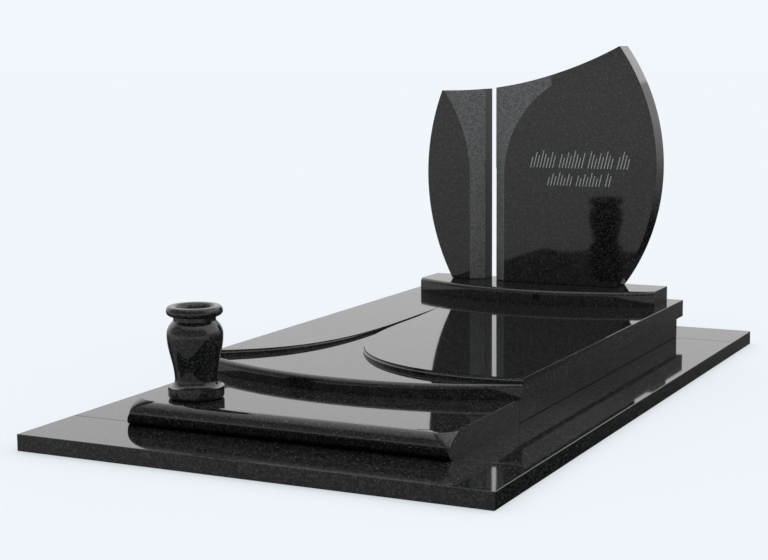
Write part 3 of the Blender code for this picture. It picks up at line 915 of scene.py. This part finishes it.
class Wing:
    """Sizes of one wing. Heights are from its foot, and widths run away from the gap.

    Its outer side reaches furthest at its middle height, and is inset at its foot. Its facet has
    a width, a straight height, and above it an arc with a radius and a turn.
    """

    def __init__(self, name, node, inner, reach, middle, inset, facet):
        self.name = name
        self.node = node
        self.inner = inner
        self.reach = reach
        self.middle = middle
        self.inset = inset
        self.width, self.straight, self.radius, self.turn = facet


WINGS = (
    Wing("stele_wing_large_stone", "stele_wing_right", inner=RIGHT_LOW.x, reach=RIGHT_HIGH.x,
         middle=0.423, inset=0.138, facet=(0.042, 0.383, 0.385, math.radians(58.2))),
    Wing("stele_wing_small_stone", "stele_wing_left", inner=LEFT_HIGH.x, reach=LEFT_LOW.x,
         middle=0.388, inset=0.098, facet=(-0.0517, 0.373, 0.540, math.radians(40.0))),
)


def outer_x(wing, height):
    """Outer side of a wing: an arc that is widest at its middle height."""
    radius = bow_radius(wing.middle, wing.inset)
    bend = radius - math.sqrt(radius ** 2 - (height - wing.middle) ** 2)
    return wing.reach - math.copysign(bend, wing.reach)


def crown_height(radius, x):
    """Height of the hollow top line, one arc over both wings."""
    return CROWN_LOW_HEIGHT + radius - math.sqrt(radius ** 2 - (x - CROWN_LOW_X) ** 2)


def wing_outline(wing, crown):
    """Front outline of a wing as (x, height) points."""
    low, high = wing.middle, wing.middle + bow_radius(wing.middle, wing.inset) * SEARCH_SHARE
    for _ in range(HALVINGS):
        height = (low + high) / 2
        if height < crown_height(crown, outer_x(wing, height)):
            low = height
        else:
            high = height
    corner_x = outer_x(wing, low)
    points = [(wing.inner, 0.0)]
    for i in range(OUTLINE_STEPS + 1):
        height = low * i / OUTLINE_STEPS
        points.append((outer_x(wing, height), height))
    for i in range(1, OUTLINE_STEPS + 1):
        x = corner_x + (wing.inner - corner_x) * i / OUTLINE_STEPS
        points.append((x, crown_height(crown, x)))
    return points


def facet_cutter(wing, depth, top):
    """Wedge in front of the facet, which slopes back from its crest to the inner edge."""
    side = math.copysign(1.0, wing.width)
    crest = wing.inner + wing.width
    line = [(crest, -wing.straight), (crest, wing.straight)]
    for i in range(1, FACET_STEPS + 1):
        angle = wing.turn * i / FACET_STEPS
        x = crest + side * wing.radius * (1 - math.cos(angle))
        line.append((x, wing.straight + wing.radius * math.sin(angle)))
    rest = max(top - line[-1][1], wing.radius / FACET_STEPS)
    line.append((line[-1][0] + side * rest * math.tan(wing.turn), line[-1][1] + rest))
    bm = bmesh.new()
    rings = []
    for x, height in line:
        slope = depth / (x - wing.inner)
        step = math.copysign(CUTTER_BESIDE * depth, x - wing.inner)
        front = RIGHT_LOW.y - CUTTER_AHEAD * depth
        z = RIGHT_LOW.z + height
        rings.append([
            (x + step, RIGHT_LOW.y - step * slope, z),
            (wing.inner - step, RIGHT_LOW.y + depth + step * slope, z),
            (wing.inner - step, front, z),
            (x + step, front, z),
        ])
    bridge_rings(bm, rings)
    for face in bm.faces:
        face.material_index = 1
    return helper_object("facet_cut", bm, 2)


class MONUMENT_OT_wings(bpy.types.Operator):
    """Make the two wings of the stele with their honed facets and the cut strokes."""

    bl_idname = "monument.wings"
    bl_label = "Stele wings"

    def execute(self, context):
        settings = context.scene.monument_stele
        strokes = context.scene.monument_strokes
        for wing in WINGS:
            bm = bmesh.new()
            points = wing_outline(wing, settings.crown_radius)
            outline = [(x, RIGHT_LOW.y, RIGHT_LOW.z + height) for x, height in points]
            extrude_outline(bm, outline, (0, RIGHT_HIGH.y - RIGHT_LOW.y, 0))
            top = max(height for _, height in points) + settings.facet_depth
            facet = facet_cutter(wing, settings.facet_depth, top)
            bm = cut_mesh(helper_object("wing_block", bm, 2), [facet])
            soften(bm, settings.arris, crisp)
            if wing is WINGS[0]:
                rows = stroke_rows(strokes, 2 * strokes.depth, RIGHT_LOW.y)
                cuts = helper_object("stroke_cut", rows)
                bm = cut_mesh(helper_object("wing_block", bm, 2), [cuts])
            piece = make_piece(wing.name, bm, [polished(), honed()])
            settle(piece, wing.node)
        return {"FINISHED"}


# Strokes on the larger wing

# Start of each row from the wing's inner side, its length, its foot and its height
STROKE_ROWS = ((0.142, 0.380, 0.418, 0.062), (0.207, 0.250, 0.355, 0.048))
# Each stroke's height steps through this many levels, some at a time, up from the least share
STROKE_LEVELS = 5.0
STROKE_SKIP = 3.0
STROKE_RISE = 0.1
STROKE_LEAST = 0.6
# The paint fills this share of a cut's depth, and a little less than its width
PAINT_DEPTH = 0.5
PAINT_WIDTH = 0.98


def stroke_tree():
    """Geometry nodes: a row of leaning bars of changing height, with gaps between groups."""
    tree, known = start_tree("stroke_row", ("Count", "Group"),
                             ("Pitch", "Width", "Depth", "Height", "Lean"))
    known["index"] = add_node(tree, "GeometryNodeInputIndex").outputs[0]
    add_sums(tree, known, (
        ("group and gap", "ADD", "Group", 1.0),
        ("place in group", "MODULO", "index", "group and gap"),
        ("chosen", "LESS_THAN", "place in group", "Group"),
        ("skipped", "MULTIPLY", "index", STROKE_SKIP),
        ("level", "MODULO", "skipped", STROKE_LEVELS),
        ("rise", "MULTIPLY", "level", STROKE_RISE),
        ("share", "ADD", "rise", STROKE_LEAST),
        ("height", "MULTIPLY", "Height", "share"),
        ("shift", "MULTIPLY", "z", "Lean"),
    ))
    step = add_node(tree, "ShaderNodeCombineXYZ", values={"X": known["Pitch"]})
    row = add_node(tree, "GeometryNodeMeshLine",
                   values={"Count": known["Count"], "Offset": step.outputs[0]})
    bar_size = add_node(tree, "ShaderNodeCombineXYZ",
                        values={"X": known["Width"], "Y": known["Depth"], "Z": 1.0})
    bar = add_node(tree, "GeometryNodeMeshCube", values={"Size": bar_size.outputs[0]})
    raised = add_node(tree, "GeometryNodeTransform",
                      values={"Geometry": bar.outputs["Mesh"], "Translation": (0.0, 0.0, 0.5)})
    scale = add_node(tree, "ShaderNodeCombineXYZ",
                     values={"X": 1.0, "Y": 1.0, "Z": known["height"]})
    bars = add_node(tree, "GeometryNodeInstanceOnPoints",
                    values={"Points": row.outputs["Mesh"], "Selection": known["chosen"],
                            "Instance": raised.outputs["Geometry"], "Scale": scale.outputs[0]})
    shift = add_node(tree, "ShaderNodeCombineXYZ", values={"X": known["shift"]})
    end_tree(tree, bars.outputs["Instances"], shift.outputs[0], known["Material"])
    return tree


def stroke_rows(settings, depth, middle, width_share=1.0, material=None):
    """A bmesh of all rows of strokes, of this depth about a middle plane."""
    tree = bpy.data.node_groups.get("stroke_row") or stroke_tree()
    bm = bmesh.new()
    for start, length, foot, height in STROKE_ROWS:
        mesh = run_tree(tree, {
            "Count": int(length / settings.pitch), "Group": settings.group,
            "Pitch": settings.pitch, "Width": settings.width * width_share, "Depth": depth,
            "Height": height, "Lean": settings.lean, "Material": material})
        x = RIGHT_LOW.x + start + settings.width / 2
        mesh.transform(Matrix.Translation((x, middle, RIGHT_LOW.z + foot)))
        bm.from_mesh(mesh)
        bpy.data.meshes.remove(mesh)
    return bm


class MONUMENT_OT_strokes(bpy.types.Operator):
    """Fill the foot of the cut strokes with light grey paint."""

    bl_idname = "monument.strokes"
    bl_label = "Stroke paint"

    def execute(self, context):
        settings = context.scene.monument_strokes
        paint = stroke_paint()
        middle = RIGHT_LOW.y + settings.depth * (1 - PAINT_DEPTH / 2)
        bm = stroke_rows(settings, settings.depth * PAINT_DEPTH, middle, PAINT_WIDTH, paint)
        settle(make_piece("stroke_paint", bm, [paint]), None)
        return {"FINISHED"}


# Vase

TURN_STEPS = 128
CURVE_STEPS = 16
VASE_WALL = 0.014
VASE_FLOOR = 0.033
# Points of the outside as (radius, height) from the foot up
FOOT = (0.078, 0.034)
FOOT_EASE = 0.010
WAIST = (0.0585, 0.052)
BELLY = (0.0782, 0.177)
NECK = (0.0592, 0.218)
NECK_TOP = 0.229
LIP = (0.0786, 0.2425)
MOUTH_RADIUS = 0.062
# How far up the shoulder stays full, and where it hollows in: out of and below the neck
SHOULDER_FULL = 0.6
SHOULDER_OUT = 0.28
SHOULDER_BELOW = 0.2


def quarter(start, end, upright_start):
    """Quarter ellipse between two (radius, height) points, without its first point."""
    points = []
    for i in range(1, CURVE_STEPS + 1):
        angle = math.pi / 2 * i / CURVE_STEPS
        fall, rise = math.cos(angle), math.sin(angle)
        if not upright_start:
            fall, rise = 1 - rise, 1 - fall
        radius = end[0] + (start[0] - end[0]) * fall
        points.append((radius, start[1] + (end[1] - start[1]) * rise))
    return points


def half_wave(start, end):
    """Smooth swell between two (radius, height) points, without its first point."""
    points = []
    for i in range(1, 2 * CURVE_STEPS + 1):
        share = i / (2 * CURVE_STEPS)
        swell = (1 - math.cos(math.pi * share)) / 2
        radius = start[0] + (end[0] - start[0]) * swell
        points.append((radius, start[1] + (end[1] - start[1]) * share))
    return points


def shoulder(belly, neck):
    """Round shoulder that hollows into the neck, between two (radius, height) points."""
    out, rise = belly[0] - neck[0], neck[1] - belly[1]
    full = (belly[0], belly[1] + SHOULDER_FULL * rise)
    hollow = (neck[0] + SHOULDER_OUT * out, neck[1] - SHOULDER_BELOW * rise)
    guides = [belly, full, hollow, neck]
    points = [bezier_point(guides, i / CURVE_STEPS) for i in range(1, CURVE_STEPS + 1)]
    return [(point.x, point.y) for point in points]


def vase_profile():
    """Closed profile from the middle of the foot, over the lip, to the middle of the floor."""
    height = VASE_HIGH.z - VASE_LOW.z
    points = [(0.0, 0.0), (FOOT[0] - FOOT_EASE, 0.0)]
    points += quarter(points[-1], (FOOT[0], FOOT_EASE), False)
    points.append(FOOT)
    points += quarter(FOOT, WAIST, False)
    points += half_wave(points[-1], BELLY)
    points += shoulder(BELLY, NECK)
    points.append((NECK[0], NECK_TOP))
    points += quarter(points[-1], LIP, False)
    points += quarter(points[-1], (MOUTH_RADIUS + VASE_WALL / 2, height), True)
    throat = NECK[0] - VASE_WALL
    points.append((MOUTH_RADIUS, height))
    points += quarter(points[-1], (throat, NECK_TOP), False)
    points.append((throat, NECK[1]))
    points += shoulder((BELLY[0] - VASE_WALL, BELLY[1]), (throat, NECK[1]))[-2::-1]
    points.append((BELLY[0] - VASE_WALL, BELLY[1]))
    points += half_wave(points[-1], (WAIST[0] - VASE_WALL, WAIST[1]))
    points += quarter(points[-1], (0.0, VASE_FLOOR), True)
    return points


class MONUMENT_OT_vase(bpy.types.Operator):
    """Turn the hollow granite vase around its own axis."""

    bl_idname = "monument.vase"
    bl_label = "Vase"

    def execute(self, context):
        bm = bmesh.new()
        verts = [bm.verts.new((radius, 0.0, height)) for radius, height in vase_profile()]
        edges = [bm.edges.new(pair) for pair in zip(verts[:-1], verts[1:])]
        bmesh.ops.spin(bm, geom=verts + edges, cent=(0, 0, 0), axis=(0, 0, 1),
                       dvec=(0, 0, 0), angle=2 * math.pi, steps=TURN_STEPS,
                       use_duplicate=False)
        bmesh.ops.remove_doubles(bm, verts=bm.verts, dist=TOUCH)
        middle = (VASE_LOW + VASE_HIGH) / 2
        bmesh.ops.translate(bm, vec=(middle.x, middle.y, VASE_LOW.z), verts=bm.verts)
        vase = make_piece("turned_vase", bm, [polished_vase()], flat_area=1.0, sharp_angle=30)
        settle(vase, "vase")
        return {"FINISHED"}


# Carried-over stones

def dress_nodes(names, material):
    """Give packed solids their finish."""
    for name in names:
        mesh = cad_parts[name].data
        mesh.materials.clear()
        mesh.materials.append(material)


class MONUMENT_OT_surround(bpy.types.Operator):
    """Polish the four strips of the surround."""

    bl_idname = "monument.surround"
    bl_label = "Surround"

    def execute(self, context):
        dress_nodes(SURROUND_STONES, polished_strip())
        return {"FINISHED"}


class MONUMENT_OT_plinth(bpy.types.Operator):
    """Polish the three stones of the plinth."""

    bl_idname = "monument.plinth"
    bl_label = "Plinth"

    def execute(self, context):
        dress_nodes(PLINTH_STONES, polished())
        return {"FINISHED"}


# Studio

# Brightness of the studio by height (the sine of the elevation), ahead of and behind the stele
FRONT_LIGHT = ((-0.26, 0.36), (-0.14, 0.66), (-0.02, 0.92), (0.03, 0.55), (0.10, 0.40),
               (0.40, 0.30), (0.66, 0.30), (0.76, 0.80), (0.90, 1.20), (1.0, 1.60))
BACK_LIGHT = ((-0.26, 0.02), (-0.18, 0.12), (-0.06, 0.45), (0.0, 0.80), (0.15, 0.95),
              (0.22, 1.10), (0.35, 1.40), (1.0, 1.50))
# Brightness on the right behind the stele: a dark bank with the sharp lower edge of a panel above
RIGHT_LIGHT = ((-0.24, 0.0), (-0.19, 0.06), (-0.14, 0.16), (-0.09, 0.23), (-0.03, 0.40),
               (0.0, 0.46), (0.10, 0.68), (0.21, 0.75), (0.216, 1.50), (1.0, 1.50))
# Where the light behind the stele starts and is whole, as the direction's part to the back
BACK_REACH = (-0.3, 0.3)
# Where the bank on the right starts and is whole, as the direction's part to the right
RIGHT_REACH = (0.06, 0.14)
# Heights that the ramps run over, and the brightness that white stands for in them
RAMP_REACH = (-0.5, 1.0)
RAMP_TOP = 2.0
# Ray depth past which light has been mirrored twice, and the share that the polish leaves of it:
# in general, and on the right
MIRRORED_TWICE = 2.5
SECOND_MIRROR = (0.65, 0.30)
# Mean brightness that the lights above give a level floor
FLOOR_LIGHT = 1.10
CAMERA_REACH = 500.0


def light_ramp(tree, height, levels):
    """Brightness by height, from (height, level) pairs."""
    low, high = RAMP_REACH
    ramp = add_node(tree, "ShaderNodeValToRGB", values={"Fac": height})
    stops = []
    for place, level in levels:
        share = level / RAMP_TOP
        stops.append(((place - low) / (high - low), (share, share, share, 1.0)))
    set_ramp(ramp, stops)
    return ramp.outputs["Color"]


def studio_world(settings):
    """A plain backdrop for the eye, and for the polish a soft dome over darker ground."""
    world = bpy.data.worlds.new("studio_dome")
    bpy.context.scene.world = world
    world.use_nodes = True
    tree = world.node_tree
    place = add_node(tree, "ShaderNodeTexCoord")
    parts = add_node(tree, "ShaderNodeSeparateXYZ", values={0: place.outputs["Generated"]})
    x, y, z = parts.outputs
    low, high = RAMP_REACH
    height = add_node(tree, "ShaderNodeMapRange",
                      values={"From Min": low, "From Max": high, "Value": z}).outputs["Result"]
    reaches = []
    for direction, (start, whole) in ((y, BACK_REACH), (x, RIGHT_REACH)):
        reach = add_node(tree, "ShaderNodeMapRange", {"interpolation_type": "SMOOTHSTEP"},
                         {"From Min": start, "From Max": whole, "Value": direction})
        reaches.append(reach.outputs["Result"])
    behind, right = reaches
    path = add_node(tree, "ShaderNodeLightPath")
    known = {"behind": behind, "right": right, "depth": path.outputs["Ray Depth"]}
    add_sums(tree, known, (
        ("right behind", "MULTIPLY", "right", "behind"),
        ("mirrored again", "GREATER_THAN", "depth", MIRRORED_TWICE),
    ))
    light = light_ramp(tree, height, FRONT_LIGHT)
    for factor, levels in ((behind, BACK_LIGHT), (known["right behind"], RIGHT_LIGHT)):
        blend = add_node(tree, "ShaderNodeMix", {"data_type": "RGBA"},
                         {MIX_FACTOR: factor, MIX_FIRST: light,
                          MIX_SECOND: light_ramp(tree, height, levels)})
        light = blend.outputs[MIX_RESULT]
    strength = RAMP_TOP * settings.dome
    general, on_right = SECOND_MIRROR
    left = add_node(tree, "ShaderNodeMapRange",
                    values={"To Min": strength * general, "To Max": strength * on_right,
                            "Value": known["right behind"]})
    level = add_node(tree, "ShaderNodeMapRange",
                     values={"To Min": strength, "To Max": left.outputs["Result"],
                             "Value": known["mirrored again"]})
    bright = add_node(tree, "ShaderNodeVectorMath", {"operation": "SCALE"},
                      {0: light, "Scale": level.outputs["Result"]})
    seen = add_node(tree, "ShaderNodeMix", {"data_type": "RGBA"},
                    {MIX_FACTOR: path.outputs["Is Camera Ray"], MIX_FIRST: bright.outputs[0],
                     MIX_SECOND: settings.backdrop})
    tree.links.new(seen.outputs[MIX_RESULT], tree.nodes["Background"].inputs["Color"])


def studio_floor(settings):
    """A plain matt floor that runs out to the backdrop, which the polish doesn't mirror."""
    bm = bmesh.new()
    bmesh.ops.create_grid(bm, x_segments=1, y_segments=1, size=settings.floor_reach)
    mesh = bpy.data.meshes.new("floor")
    bm.to_mesh(mesh)
    bm.free()
    floor = bpy.data.objects.new("floor", mesh)
    bpy.context.scene.collection.objects.link(floor)
    material = bpy.data.materials.new("matt_pale_floor")
    material.use_nodes = True
    matt = (1 - settings.glow) / (FLOOR_LIGHT * settings.dome)
    values = {
        "Base Color": [*(matt * channel for channel in settings.backdrop[:3]), 1.0],
        "Emission Color": settings.backdrop,
        "Emission Strength": settings.glow,
        "Roughness": 1.0,
        "Specular IOR Level": 0.0,
    }
    for name, value in values.items():
        material.node_tree.nodes["Principled BSDF"].inputs[name].default_value = value
    mesh.materials.append(material)
    floor.visible_glossy = False


def studio_camera():
    """The photograph's own view."""
    data = bpy.data.cameras.new("camera")
    data.sensor_width = SENSOR_WIDTH
    data.lens = FOCAL_PIXELS * SENSOR_WIDTH / IMAGE_WIDTH
    data.clip_end = CAMERA_REACH
    camera = bpy.data.objects.new("camera", data)
    turn = Matrix.Rotation(CAMERA_YAW, 4, "Z")
    turn = turn @ Matrix.Rotation(math.pi / 2 + CAMERA_PITCH, 4, "X")
    turn = turn @ Matrix.Rotation(CAMERA_ROLL, 4, "Z")
    camera.matrix_world = Matrix.Translation(CAMERA_PLACE) @ turn
    bpy.context.scene.collection.objects.link(camera)
    bpy.context.scene.camera = camera


class MONUMENT_OT_stage(bpy.types.Operator):
    """Set up the pale floor, the soft dome of light and the camera."""

    bl_idname = "monument.stage"
    bl_label = "Stage"

    def execute(self, context):
        settings = context.scene.monument_stage
        studio_world(settings)
        studio_floor(settings)
        studio_camera()
        context.scene.view_settings.view_transform = "Standard"
        return {"FINISHED"}


# Panel and registration

OPERATORS = (
    MONUMENT_OT_stage,
    MONUMENT_OT_surround,
    MONUMENT_OT_plinth,
    MONUMENT_OT_kerb,
    MONUMENT_OT_ledger,
    MONUMENT_OT_base,
    MONUMENT_OT_wings,
    MONUMENT_OT_strokes,
    MONUMENT_OT_vase,
)

SETTINGS = {
    "monument_stage": StageSettings,
    "monument_granite": GraniteSettings,
    "monument_kerb": KerbSettings,
    "monument_ledger": LedgerSettings,
    "monument_stele": SteleSettings,
    "monument_strokes": StrokeSettings,
}


class MONUMENT_PT_panel(bpy.types.Panel):
    """Lists the monument's pieces and settings."""

    bl_label = "Grave monument"
    bl_idname = "MONUMENT_PT_panel"
    bl_space_type = "VIEW_3D"
    bl_region_type = "UI"
    bl_category = "Monument"

    def draw(self, context):
        for operator in OPERATORS:
            self.layout.operator(operator.bl_idname)
        for name, group in SETTINGS.items():
            box = self.layout.box()
            box.label(text=group.__doc__)
            for prop in group.__annotations__:
                box.prop(getattr(context.scene, name), prop)


def register():
    for group in SETTINGS.values():
        bpy.utils.register_class(group)
    for operator in OPERATORS:
        bpy.utils.register_class(operator)
    bpy.utils.register_class(MONUMENT_PT_panel)
    for name, group in SETTINGS.items():
        setattr(bpy.types.Scene, name, bpy.props.PointerProperty(type=group))


def unregister():
    for name in SETTINGS:
        delattr(bpy.types.Scene, name)
    bpy.utils.unregister_class(MONUMENT_PT_panel)
    for cls in (*OPERATORS[::-1], *SETTINGS.values()):
        bpy.utils.unregister_class(cls)


def main():
    register()
    bpy.ops.monument.stage()
    bpy.ops.monument.surround()
    bpy.ops.monument.plinth()
    bpy.ops.monument.kerb()
    bpy.ops.monument.ledger()
    bpy.ops.monument.base()
    bpy.ops.monument.wings()
    bpy.ops.monument.strokes()
    bpy.ops.monument.vase()


if __name__ == "__main__":
    main()
